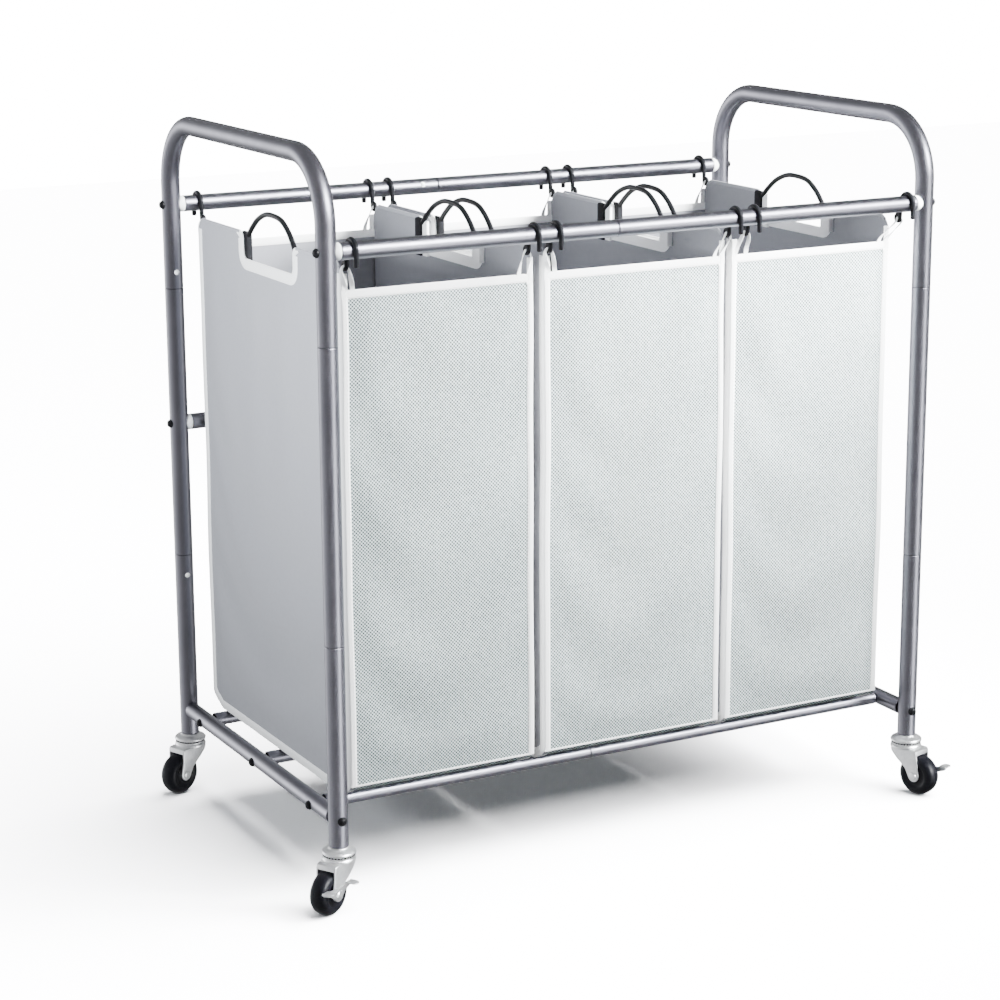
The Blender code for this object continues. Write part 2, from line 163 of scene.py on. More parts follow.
def prism(outline, low, high, axis):
    """An outline in the other two axes, in order, between two heights along the axis."""
    others = [index for index in range(3) if index != axis]
    points = np.zeros((2 * len(outline), 3))
    points[:, others] = np.tile(np.array(outline), (2, 1))
    points[: len(outline), axis] = low
    points[len(outline) :, axis] = high
    return points, ring_faces(2, len(outline))


def block(low, high):
    outline = [(low[0], low[1]), (high[0], low[1]), (high[0], high[1]), (low[0], high[1])]
    return prism(outline, low[2], high[2], 2)


def arc(centre, radius, start, end, steps):
    turn = np.radians(np.linspace(start, end, steps + 1))
    return [(centre[0] + radius * math.cos(t), centre[1] + radius * math.sin(t)) for t in turn]


def joined(shapes):
    points, faces, count = [], [], 0
    for shape_points, shape_faces in shapes:
        points.append(np.asarray(shape_points))
        faces += [tuple(index + count for index in face) for face in shape_faces]
        count += len(shape_points)
    return np.concatenate(points), faces


def moved(shape, matrix):
    matrix = np.array(matrix)
    return shape[0] @ matrix[:3, :3].T + matrix[:3, 3], shape[1]


def new_mesh(name, shape):
    mesh = bpy.data.meshes.new(name)
    mesh.from_pydata(np.asarray(shape[0]).tolist(), [], shape[1])
    bm = bmesh.new()
    bm.from_mesh(mesh)
    bmesh.ops.recalc_face_normals(bm, faces=bm.faces)
    bm.to_mesh(mesh)
    bm.free()
    return mesh


def placed(name, data):
    """A new object of the scene that shows the data."""
    item = bpy.data.objects.new(name, data)
    bpy.context.scene.collection.objects.link(item)
    return item


def worked(shape, steps):
    """The shape after a list of (modifier type, settings). A setting named shape is a second shape."""
    item = placed("work", new_mesh("work", shape))
    helpers = []
    for kind, settings in steps:
        modifier = item.modifiers.new(kind, kind)
        for name, value in settings.items():
            if name == "shape":
                name, value = "object", placed("helper", new_mesh("helper", value))
                helpers.append(value)
            setattr(modifier, name, value)
    bpy.context.view_layer.update()
    made = item.evaluated_get(bpy.context.evaluated_depsgraph_get()).to_mesh()
    points = np.array([vertex.co for vertex in made.vertices])
    faces = [tuple(face.vertices) for face in made.polygons]
    for helper in [item, *helpers]:
        bpy.data.objects.remove(helper)
    return points, faces


def less(*shapes):
    return [("BOOLEAN", {"operation": "DIFFERENCE", "shape": shape}) for shape in shapes]


def plus(*shapes):
    return [("BOOLEAN", {"operation": "UNION", "shape": shape}) for shape in shapes]


def softened(width, segments=2, degrees=40.0):
    settings = {"width": width, "segments": segments, "limit_method": "ANGLE"}
    return [("BEVEL", {**settings, "angle_limit": math.radians(degrees), "harden_normals": False})]


def show(name, shape, material, body, node=None, degrees=38.0):
    """Makes a shape a visible piece of a body, in place of the CAD node it is named with."""
    mesh = new_mesh(name, shape)
    mesh.shade_smooth()
    mesh.set_sharp_from_angle(angle=math.radians(degrees))
    mesh.materials.append(MATERIALS[material])
    item = placed(name, mesh)
    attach(item, body)
    if node:
        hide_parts(node)
    return item


# ---- materials ----


class Tree:
    """A short way to wire a node tree."""

    def __init__(self, owner):
        owner.use_nodes = True
        self.tree = owner.node_tree

    def add(self, kind, inputs=(), **settings):
        node = self.tree.nodes.new(kind)
        for key, value in settings.items():
            setattr(node, key, value)
        for key, value in dict(inputs).items():
            if isinstance(value, bpy.types.NodeSocket):
                self.tree.links.new(value, node.inputs[key])
            else:
                node.inputs[key].default_value = value
        return node

    def maths(self, operation, *values):
        return self.add("ShaderNodeMath", dict(enumerate(values)), operation=operation).outputs[0]


class Nodes(Tree):
    """A short way to wire a Principled material."""

    def __init__(self, name, colour, roughness, **settings):
        self.material = bpy.data.materials.new(name)
        super().__init__(self.material)
        self.shader = self.tree.nodes["Principled BSDF"]
        settings.update(Base_Color=(*colour, 1.0), Roughness=roughness)
        for key, value in settings.items():
            self.shader.inputs[key.replace("_", " ")].default_value = value
        self.place = self.add("ShaderNodeTexCoord").outputs["Object"]

    def link(self, source, name):
        self.tree.links.new(source, self.shader.inputs[name])

    def noise(self, scale, detail=3.0, roughness=0.5, place=None):
        inputs = {"Vector": place or self.place, "Scale": scale, "Detail": detail, "Roughness": roughness}
        return self.add("ShaderNodeTexNoise", inputs).outputs["Fac"]

    def ramp(self, value, low, high, out_low=0.0, out_high=1.0):
        inputs = {0: value, 1: low, 2: high, 3: out_low, 4: out_high}
        return self.add("ShaderNodeMapRange", inputs).outputs[0]

    def colour(self, share, first, second):
        """The base colour goes from the first to the second as the share goes from 0 to 1."""
        inputs = {0: share, 6: (*first, 1.0), 7: (*second, 1.0)}
        self.link(self.add("ShaderNodeMix", inputs, data_type="RGBA").outputs[2], "Base Color")

    def rough(self, value, *limits):
        self.link(self.ramp(value, *limits), "Roughness")

    def bump(self, *layers):
        """Each layer is (height socket, distance in metres, strength)."""
        normal = None
        for height, distance, strength in layers:
            inputs = {"Height": height, "Distance": distance, "Strength": strength}
            if normal is not None:
                inputs["Normal"] = normal
            normal = self.add("ShaderNodeBump", inputs).outputs["Normal"]
        self.link(normal, "Normal")


def frame_paint():
    """Satin silver-grey metallic paint: fine flake, a little orange peel and rubbed patches."""
    coat = {"Coat_Weight": 0.06, "Coat_Roughness": 0.25}
    m = Nodes("frame_paint", (0.20, 0.197, 0.223), 0.38, Metallic=1.0, **coat)
    flake = m.noise(9000.0, 1.0)
    cloud = m.noise(14.0, 4.0, 0.6)
    both = m.maths("ADD", m.maths("MULTIPLY", flake, 0.6), m.maths("MULTIPLY", cloud, 0.4))
    tone = m.ramp(both, 0.3, 0.7)
    m.colour(tone, (0.158, 0.155, 0.181), (0.246, 0.242, 0.275))
    m.rough(m.noise(60.0, 5.0, 0.65), 0.3, 0.75, 0.34, 0.42)
    m.bump((m.noise(700.0, 2.0), 0.00012, 0.25), (flake, 0.00002, 0.3))
    return m.material


def zinc_plate():
    m = Nodes("zinc_plate", (0.82, 0.82, 0.83), 0.36, Metallic=0.9)
    spangle = m.add("ShaderNodeTexVoronoi", {"Vector": m.place, "Scale": 420.0}).outputs["Distance"]
    stain = m.noise(160.0, 4.0, 0.65)
    m.colour(m.ramp(stain, 0.35, 0.75), (0.90, 0.90, 0.90), (0.74, 0.74, 0.76))
    m.rough(m.noise(900.0, 3.0), 0.3, 0.7, 0.30, 0.44)
    m.bump((m.noise(500.0, 3.0), 0.00010, 0.25), (spangle, 0.00004, 0.2))
    return m.material


def black_wheel():
    m = Nodes("black_wheel", (0.006, 0.006, 0.008), 0.42, Specular_IOR_Level=0.15)
    scuff = m.noise(220.0, 6.0, 0.7)
    m.colour(m.ramp(scuff, 0.5, 0.85), (0.004, 0.004, 0.006), (0.014, 0.014, 0.017))
    m.rough(scuff, 0.4, 0.8, 0.36, 0.52)
    m.bump((m.noise(1400.0, 2.0), 0.00005, 0.3))
    return m.material


def black_wire():
    m = Nodes("black_wire", (0.007, 0.007, 0.008), 0.38, Specular_IOR_Level=0.10)
    wear = m.noise(300.0, 5.0, 0.6)
    m.colour(m.ramp(wear, 0.55, 0.8), (0.006, 0.006, 0.007), (0.020, 0.020, 0.022))
    m.rough(wear, 0.3, 0.7, 0.28, 0.42)
    m.bump((m.noise(1200.0, 2.0), 0.00006, 0.3))
    return m.material


def white_plastic():
    m = Nodes("white_plastic", (0.82, 0.82, 0.81), 0.38, Subsurface_Weight=0.05)
    dirt = m.ramp(m.noise(120.0, 4.0), 0.4, 0.8)
    m.colour(dirt, (0.86, 0.86, 0.85), (0.74, 0.74, 0.73))
    m.bump((m.noise(900.0, 2.0), 0.00008, 0.2))
    return m.material


def woven(name, light, dark, pitch, contrast, depth, roughness=0.88, shine=0.5):
    """Cloth with its threads crossing at the pitch, laid out by the mesh's UV map in metres."""
    sheen = {"Sheen_Weight": 0.1 * light[0], "Sheen_Roughness": 0.5}
    m = Nodes(name, light, roughness, Specular_IOR_Level=shine, **sheen)
    across = m.add("ShaderNodeUVMap", uv_map="UVMap").outputs["UV"]
    wander = m.noise(9.0, 2.0, 0.5, across)
    split = m.add("ShaderNodeSeparateXYZ", {0: across})
    waves = []
    for axis in (0, 1):
        place = m.maths("ADD", split.outputs[axis], m.maths("MULTIPLY", wander, pitch))
        waves.append(m.maths("SINE", m.maths("MULTIPLY", place, math.pi / pitch)))
    knots = m.ramp(m.maths("MULTIPLY", *waves), -0.45, 0.45)
    threads = m.noise(3200.0, 2.0, 0.6, across)
    patch = m.noise(7.0, 4.0, 0.55, across)
    uneven = m.noise(160.0, 3.0, 0.6, across)
    tone = m.maths("MULTIPLY", knots, contrast)
    tone = m.maths("ADD", tone, m.ramp(threads, 0.3, 0.7, -0.12 * contrast, 0.12 * contrast))
    tone = m.maths("ADD", tone, m.ramp(uneven, 0.3, 0.7, -0.10, 0.10))
    tone = m.maths("ADD", tone, m.ramp(patch, 0.3, 0.7, 0.0, 0.16))
    m.colour(tone, light, dark)
    m.rough(threads, 0.3, 0.7, roughness - 0.06, roughness + 0.06)
    m.bump((patch, 0.002, 0.10), (knots, depth, 0.55), (threads, 0.0001, 0.35))
    return m.material


MATERIALS = {
    "paint": frame_paint(),
    "zinc": zinc_plate(),
    "wheel": black_wheel(),
    "wire": black_wire(),
    "plastic": white_plastic(),
    "front": woven("bag_front_cloth", (0.675, 0.755, 0.765), (0.026, 0.037, 0.041), 0.00205, 1.0, 0.0005),
    "side": woven("bag_side_cloth", (0.33, 0.333, 0.362), (0.26, 0.263, 0.290), 0.0008, 0.5, 0.00012),
    # the bags' inner faces: the side cloth made darker, as painted shade inside the bags
    "inner_shade": woven("bag_cloth_back_painted_shade", (0.250, 0.253, 0.278), (0.195, 0.198, 0.220), 0.0008, 0.5, 0.00012),
    "tape": woven("binding_tape", (0.94, 0.94, 0.94), (0.84, 0.84, 0.85), 0.0006, 0.5, 0.00012),
    "web": woven(
        "handle_webbing", (0.016, 0.016, 0.018), (0.006, 0.006, 0.007), 0.0009, 0.7, 0.0003, 0.9, 0.12
    ),
}


# ---- tube frame ----


def tube_end(kind, radius):
    """(distance in from the shoulder, radius) at a tube's end, hidden points first."""
    if kind == "spigot":
        inner = [(-SPIGOT, radius - TUBE_WALL - FIT - CHAMFER / 2)]
        inner += [(CHAMFER - SPIGOT, radius - TUBE_WALL - FIT), (0.0, radius - TUBE_WALL - FIT)]
    else:
        inner = [(SPIGOT + 0.004, radius - TUBE_WALL), (0.0, radius - TUBE_WALL)]
    edge = [(0.0, radius - CHAMFER), (CHAMFER * 0.3, radius - CHAMFER * 0.3), (CHAMFER, radius)]
    return [*inner, *edge, (CHAMFER * 2.5, radius)]


def tube(name, path, radius, ends, side, bends=()):
    """A tube that stands for its CAD node. ends says what each end is: a socket or a spigot."""
    length = reaches(path)[-1]
    start = tube_end(ends[0], radius)
    finish = [(length - distance, r) for distance, r in reversed(tube_end(ends[1], radius))]
    middle = [(distance, radius) for distance in bends]
    shape = pipe(path, [*start, *middle, *finish], np.array(side, float))
    show(name + "_tube", shape, "paint", "frame", name)


def straight(node, axis, ends=("socket", "socket"), trim=(0.0, 0.0), shoulders=(0.0, 0.0)):
    """A straight tube in the place of its node. shoulders are how far its box reaches past them."""
    low, high = node_box(node)
    radius = float((high - low)[(axis + 1) % 3]) / 2
    centre = (low + high) / 2
    first, second = centre.copy(), centre.copy()
    first[axis] = low[axis] + trim[0] + shoulders[0]
    second[axis] = high[axis] - trim[1] - shoulders[1]
    tube(node, [first, second], radius, ends, np.eye(3)[(axis + 1) % 3])
    return first, second, radius


def handle(side):
    node = f"handle_tube_{side}"
    low, high = node_box(node)
    radius = (high[0] - low[0]) / 2
    x, top, half = low[0] + radius, high[2] - radius, high[1] - radius
    outline = [(half, low[2])]
    outline += arc((half - HANDLE_BEND, top - HANDLE_BEND), HANDLE_BEND, 0.0, 90.0, 24)
    outline += arc((HANDLE_BEND - half, top - HANDLE_BEND), HANDLE_BEND, 90.0, 180.0, 24)
    outline += [(-half, low[2])]
    path = np.array([(x, y, z) for y, z in outline])
    tube(node, path, radius, ("socket", "socket"), X, reaches(path)[1:-1])


def facing(direction, centre):
    """Stands Z along the direction, at the centre."""
    turn = Vector(direction).to_track_quat("Z", "Y").to_matrix().to_4x4()
    return Matrix.Translation(Vector(centre)) @ turn


def button(name, centre, direction, radius):
    """The spring button's dome, standing out of a tube's wall."""
    dome = [(0.0031, -0.0006), (0.0031, 0.0), (0.0028, 0.0003), (0.0023, 0.0006), (0.0021, 0.0010)]
    dome += [(0.0018, 0.0013), (0.0011, BUTTON_RISE), (0.0003, BUTTON_RISE + 0.0001)]
    at = Vector(centre) + Vector(direction).normalized() * (radius - 0.0001)
    show(name, moved(lathe(dome, 20), facing(direction, at)), "plastic", "frame")


def screw_shape():
    """A black pan head on a thin washer, with a cross recess, standing up along Z."""
    profile = [(0.0052, -0.0012), (0.0052, 0.0006), (0.0046, 0.0008), (0.0044, 0.0012), (0.0042, 0.0020)]
    profile += [(0.0036, 0.0028), (0.0026, 0.0033), (0.0012, 0.0035)]
    arms = [block((-0.0023, -0.00042, 0.0022), (0.0023, 0.00042, 0.01))]
    arms.append(block((-0.00042, -0.0023, 0.0023), (0.00042, 0.0023, 0.01)))
    return worked(lathe(profile, 28), less(*arms))


def screw(name, shape, centre, direction, turn):
    matrix = facing(direction, centre) @ Matrix.Rotation(math.radians(turn), 4, "Z")
    show(name, moved(shape, matrix), "wire", "frame", degrees=30.0)


def plug(name, rail_end, out, radius, post_radius):
    """White end plug of a rail: a collar whose outer face is hollowed to sit on the round post."""
    profile = [(radius - 0.0020, 0.0), (radius - 0.0006, 0.0), (radius - 0.0001, 0.0007)]
    profile += [(radius - 0.0001, 0.0024), (radius - 0.0005, PLUG_LENGTH + 0.0012)]
    profile += [(radius - 0.0012, PLUG_LENGTH + 0.0040)]
    collar = moved(lathe(profile, 36), Matrix.Rotation(math.pi / 2 * out, 4, "Y"))
    collar = (collar[0] + rail_end, collar[1])
    post = lathe([(post_radius + 0.0001, -0.03), (post_radius + 0.0001, 0.03)], 48)
    centre = np.array(rail_end) + X * out * (PLUG_LENGTH + post_radius + FIT)
    shape = worked(collar, less((post[0] + centre, post[1])))
    show(name, shape, "plastic", "frame")


def build_frame():
    for side, _ in SIDES:
        handle(side)
        straight(f"side_tube_{side}", 1)
    posts = {}
    for place in PLACES:
        low, high, radius = straight(
            f"middle_post_{place}", 2, ("spigot", "spigot"), shoulders=(SPIGOT, SPIGOT)
        )
        posts[place] = (low[0], low[1], radius)
        straight(f"leg_{place}", 2)
        for name, z in (("upper", high[2] + 0.0200), ("lower", low[2] - 0.0250)):
            button(f"post_button_{name}_{place}", (low[0], low[1], z), (0, -low[1], 0), radius)
    head = screw_shape()
    post_x, post_y, post_radius = (abs(value) for value in posts["front_left"])
    rails = (("top_rail_front", True), ("top_rail_rear", True), ("middle_rail_rear", True))
    rails += (("base_rail_front", False), ("base_rail_middle", False), ("base_rail_rear", False))
    for rail, plugged in rails:
        trim = PLUG_LENGTH if plugged else 0.0
        left = straight(f"{rail}_left_half", 0, ("socket", "socket"), (trim, 0.0))
        ends = ("spigot", "socket")
        right = straight(f"{rail}_right_half", 0, ends, (0.0, trim), (SPIGOT + FIT, 0.0))
        low, high, radius = left[0], right[1], left[2]
        up = (0, 0, 1) if not plugged else (0, -0.94 * np.sign(left[0][1]), 0.34)
        button(f"{rail}_button", left[1] - X * 0.0210, up, radius)
        for (side, out), end in zip(SIDES, (low, high)):
            if plugged:
                plug(f"{rail}_plug_{side}", end, out, radius, post_radius)
                face = (out * (post_x + post_radius), end[1], end[2])
                screw(f"{rail}_screw_{side}", head, face, (out, 0, 0), 20.0 + 31.0 * out)
            else:
                outside = (out * (post_x + radius + 0.0013), end[1], end[2] - 0.0015)
                screw(f"{rail}_screw_{side}", head, outside, (out, 0, -0.16), 12.0 + 25.0 * out)
    for side, out in SIDES:
        for end, way in (("front", -1), ("rear", 1)):
            z = float(sum(node_box(f"side_tube_{side}"))[2]) / 2
            face = (out * post_x, way * (post_y + post_radius), z)
            screw(f"side_tube_screw_{end}_{side}", head, face, (0, way, 0), 40.0 * out + 15.0 * way)


# ---- casters ----
# A caster is shaped about its own swivel axis, with X the way it trails and Y its axle.

TRAIL_HUB = (0.021, 0.025)
ARM_OUT = 0.0132
ARM_IN = 0.0112
CROWN = 0.0575
BALLS = 30
BALL_RADIUS = 0.0011
BALL_RING = (0.0172, 0.0633)  # the ring's radius and height


def fork_shape(head_face):
    """Pressed fork: two tapering arms, a crown with a front lip, the raised race and the axle rivet."""
    outline = [(-0.0105, CROWN), (0.0215, CROWN), (0.0240, CROWN - 0.0012), (0.0247, CROWN - 0.004)]
    outline += [(0.0252, 0.0430)]
    outline += arc(TRAIL_HUB, 0.0075, 12.0, -152.0, 14)
    outline += [(0.0085, 0.0325), (0.0020, 0.0378), (-0.0045, 0.0428), (-0.0098, 0.0478)]
    outline += [(-0.0128, 0.0515), (-0.0134, 0.0545), (-0.0126, CROWN - 0.0010)]
    body = prism(outline, -ARM_OUT, ARM_OUT, 1)
    below = block((-0.05, -ARM_IN, -0.01), (0.06, ARM_IN, 0.0512))
    roof = block((-0.05, -ARM_IN, 0.0500), (0.0226, ARM_IN, CROWN - 0.0020))
    shell = worked(body, [*softened(0.0011, 3, 60.0), *less(below, roof)])
    race = [(0.0120, CROWN - 0.0010), (0.0186, CROWN - 0.0010), (0.0188, CROWN + 0.0006)]
    race += [(0.0185, CROWN + 0.0022), (0.0176, CROWN + 0.0034), (0.0177, 0.0618), (0.0178, 0.0624)]
    race += [(0.0172, 0.0627), (0.0150, 0.0628), (0.0060, 0.0632)]
    pin = lathe([(0.0043, 0.045), (0.0043, 0.070)], 24)
    lie = Matrix.Translation((TRAIL_HUB[0], 0, TRAIL_HUB[1])) @ Matrix.Rotation(-math.pi / 2, 4, "X")
    rivet = [(0.0034, -ARM_OUT - 0.0016), (0.0046, -ARM_OUT - 0.0012), (0.0050, -ARM_OUT - 0.0004)]
    rivet += [(0.0050, -ARM_OUT + 0.0004), (0.0030, -ARM_OUT + 0.0005), (0.0030, head_face - 0.0001)]
    rivet += [(0.0050, head_face), (0.0050, head_face + 0.0006), (0.0044, head_face + 0.0013)]
    rivet += [(0.0030, head_face + 0.0017)]
    return worked(shell, [*plus(lathe(race, 44), moved(lathe(rivet, 28), lie)), *less(pin)])


def stem_shape():
    """Flared upper race and plug under the leg, with the kingpin's head inside the fork."""
    turned = [(0.0058, 0.0530), (0.0062, 0.0536), (0.0062, 0.0550), (0.0040, 0.0551), (0.0040, 0.0636)]
    turned += [(0.0166, 0.0637), (0.0180, 0.0640), (0.0187, 0.0646), (0.0190, 0.0656), (0.0188, 0.0668)]
    turned += [(0.0182, 0.0678), (0.0170, 0.0687), (0.0146, 0.0696), (0.0128, 0.0704), (0.0118, 0.0713)]
    turned += [(0.0114, 0.0720), (0.0110, 0.0721)]
    turned += [(0.0096, 0.0722), (0.0096, 0.0920)]
    return lathe(turned, 44)


def bearing_balls():
    """The ring of balls that shows between the two races."""
    turns = np.radians([12, 50, 90, 130, 168])
    ball = [(BALL_RADIUS * math.sin(t), BALL_RING[1] - BALL_RADIUS * math.cos(t)) for t in turns]
    points, faces = lathe(ball, 8)
    rings = []
    for turn in np.arange(BALLS) * 2.0 * math.pi / BALLS:
        at = np.array([BALL_RING[0] * math.cos(turn), BALL_RING[0] * math.sin(turn), 0.0])
        rings.append((points + at, faces))
    return joined(rings)


def wheel_shape():
    """Moulded wheel about Z: a low hub, smooth sides and a full round tread."""
    half = [(0.0033, 0.0104), (0.0070, 0.0104), (0.0078, 0.0101), (0.0086, 0.0096), (0.0130, 0.0098)]
    half += [(0.0150, 0.0106), (0.0160, 0.0110)]
    turns = np.radians([12, 26, 40, 54, 67, 79])
    half += [(0.0164 + 0.0086 * math.sin(t), 0.0110 * math.cos(t) ** 0.8) for t in turns]
    half += [(0.02499, 0.0008)]
    return lathe([*half, *((radius, -height) for radius, height in reversed(half))], 64, closed=True)


def pedal_shape(low, high):
    """Brake rocker on the axle: a bowed plate with two ears bent outwards. low and high are its faces."""
    outline = [(-0.0240, 0.0088), (-0.0215, 0.0062), (-0.0120, 0.0026)]
    outline += arc((0.0, 0.0), 0.0075, 205.0, 335.0, 14)
    outline += [(0.0150, 0.0022), (0.0270, 0.0068), (0.0296, 0.0092), (0.0290, 0.0114), (0.0150, 0.0095)]
    outline += [(0.0050, 0.0082), (-0.0050, 0.0082), (-0.0140, 0.0096), (-0.0235, 0.0108)]
    plate = worked(prism(outline, low, high, 1), softened(0.0003, 2))
    ears = []
    for near, far, top in ((-0.0238, -0.0132, 0.0108), (0.0192, 0.0294, 0.0114)):
        middle, half = (near + far) / 2, (far - near) / 2
        turns = np.radians(range(0, 181, 15))
        tip = [(middle + half * math.cos(t), 0.0225 + 0.0045 * math.sin(t)) for t in turns]
        ear = prism([(far, low + 0.0004), *tip, (near, low + 0.0004)], top - 0.0016, top, 2)
        ears.append(worked(ear, softened(0.0004, 2, 60.0)))
    shape = worked(plate, plus(*ears))
    axle = lathe([(0.0033, -0.03), (0.0033, 0.03)], 24)
    return worked(shape, less(moved(axle, Matrix.Rotation(math.pi / 2, 4, "X"))))


def build_casters():
    joints = {joint["name"]: joint for joint in frame["joints"]}
    stem, wheel, balls = stem_shape(), wheel_shape(), bearing_balls()
    plate = (0.0135, 0.0150)
    forks = {True: fork_shape(plate[1] + FIT), False: fork_shape(ARM_OUT - 0.0001)}
    pedal = pedal_shape(*plate)
    for place in PLACES:
        hub = Vector(joints[f"wheel_spin_{place}"]["pos_m"])
        axle = Vector(joints[f"wheel_spin_{place}"]["axis"]).normalized()
        post = Vector(joints[f"swivel_{place}"]["pos_m"]).to_2d()
        along = (hub.to_2d() - post).normalized()
        rows = ((along.x, axle.x, 0, post.x), (along.y, axle.y, 0, post.y), (0, 0, 1, 0), (0, 0, 0, 1))
        stand = Matrix(rows)
        at_hub = Matrix.Translation(hub) @ stand.to_3x3().to_4x4()
        braked = f"brake_press_{place}" in joints
        show(f"stem_{place}", moved(stem, stand), "zinc", "frame", f"caster_stem_{place}")
        show(f"bearing_{place}", moved(balls, stand), "wire", "frame")
        fork = moved(forks[braked], stand)
        show(f"fork_{place}", fork, "zinc", f"swivel_{place}", f"caster_fork_{place}")
        lying = at_hub @ Matrix.Rotation(-math.pi / 2, 4, "X")
        name = f"wheel_{place}"
        show(name, moved(wheel, lying), "wheel", name, f"caster_wheel_{place}")
        if braked:
            rocker = moved(pedal, at_hub)
            show(f"pedal_{place}", rocker, "zinc", f"brake_{place}", f"brake_pedal_{place}")


# ---- bags ----

CELL = 0.0098  # cloth cell across a bag
ROWS = 56  # cloth cells from the bottom edge to the rim of the front panel
TOP_ROWS = 3  # and on to the top of the side panels
SLOPE_CELLS = 3
FLOOR_CELLS = 34
SIM_FRAMES = 24
SIM_SHARE = 0.5  # how much of the simulated move is kept, and the most that a point may move
SIM_MOST = 0.0018
SAME = 1e-5  # two coordinates this close are the same


class Bag:
    """One bag's measures, taken from its CAD node."""

    def __init__(self, place):
        low, high = node_box(f"bag_{place}")
        self.place, self.body = place, f"bag_{place}"
        self.left, self.right = low[0] + 0.0005, high[0] - 0.0005
        self.half = (high[1] - low[1]) / 2
        self.floor = low[2] + 0.0009
        self.edge = self.floor + EDGE_RISE
        self.top = high[2] - 0.0008
        self.rim = self.top - RIM_DROP
        self.width = self.right - self.left
        self.cut_middle = (CUT_FRONT + CUT_REAR) / 2

    def base_line(self):
        """(y, z) down the front, over the floor and up the rear, at the bottom only."""
        slope = np.linspace(0.0, 1.0, SLOPE_CELLS + 1)[:-1]
        ys = [-self.half + (self.half - FLAT_HALF) * share for share in slope]
        zs = [self.edge - EDGE_RISE * share for share in slope]
        flat = np.linspace(-FLAT_HALF, FLAT_HALF, FLOOR_CELLS + 1)
        line = [*zip(ys, zs), *((y, self.floor) for y in flat)]
        return line + [(-y, z) for y, z in zip(ys[::-1], zs[::-1])]


def bag_cloth(bag):
    """The sewn shell as a grid: (points, {sheet: (faces, uv by corner)}, the wrap's (y, z) outline)."""
    points, index = [], {}

    def vertex(x, y, z):
        key = (round(x, 5), round(y, 5), round(z, 5))
        if key not in index:
            index[key] = len(points)
            points.append((x, y, z))
        return index[key]

    base = bag.base_line()
    rise = [bag.edge + (bag.rim - bag.edge) * row / ROWS for row in range(ROWS, 0, -1)]
    wrap = [(-bag.half, z) for z in rise] + base + [(bag.half, z) for z in rise[::-1]]
    run = reaches(wrap)
    columns = np.linspace(bag.left, bag.right, 1 + round(bag.width / CELL))
    sheets = {"wrap": ([], []), "side_left": ([], []), "side_right": ([], [])}
    for (y0, z0), (y1, z1), s0, s1 in zip(wrap, wrap[1:], run, run[1:]):
        for x0, x1 in zip(columns, columns[1:]):
            corners = ((x0, y0, z0), (x0, y1, z1), (x1, y1, z1), (x1, y0, z0))
            sheets["wrap"][0].append(tuple(vertex(*corner) for corner in corners))
            sheets["wrap"][1].append(((x0, s0), (x0, s1), (x1, s1), (x1, s0)))

    def side_point(column, row):
        y, z = base[column]
        if row < ROWS:
            return y, z + (bag.rim - z) * row / ROWS
        z = bag.rim + (bag.top - bag.rim) * (row - ROWS) / TOP_ROWS
        if row == ROWS + TOP_ROWS and column in (0, len(base) - 1):
            return y - math.copysign(CORNER_BACK, y), z - CORNER_DROP
        for side, way in ((CUT_FRONT, -1), (CUT_REAR, 1)):
            if abs(y - side) < 0.00501 and way * (y - side) < 0.00499:
                y = side
                if row == ROWS + TOP_ROWS:
                    return y + way * EAR_BACK, z - EAR_DROP
        return y, z

    square = ((0, 0), (1, 0), (1, 1), (0, 1))
    for name, x, turn in (("side_left", bag.left, square[::-1]), ("side_right", bag.right, square)):
        for column in range(len(base) - 1):
            for row in range(ROWS + TOP_ROWS):
                corners = [side_point(column + i, row + j) for i, j in turn]
                inside = all(CUT_FRONT - 0.0041 < y < CUT_REAR + 0.0041 for y, _ in corners)
                if row >= ROWS and inside:
                    continue
                sheets[name][0].append(tuple(vertex(x, y, z) for y, z in corners))
                sheets[name][1].append(tuple(corners))
    return np.array(points), sheets, wrap


def held_points(bag, points):
    """1 where tape holds the cloth: the sewn edges, the rims and the hand cut-out."""
    x, y, z = points.T
    at_side = (np.abs(x - bag.left) < SAME) | (np.abs(x - bag.right) < SAME)
    at_end = np.abs(np.abs(y) - bag.half) < SAME
    low = z < bag.edge + SAME
    held = at_side & (at_end | low)
    held |= at_end & (z > bag.rim - 0.006)
    held |= at_side & (z > bag.rim - 0.012)
    return held | (low & ((np.abs(y) > FLAT_HALF - 0.02) | (np.abs(y) < 0.012)))


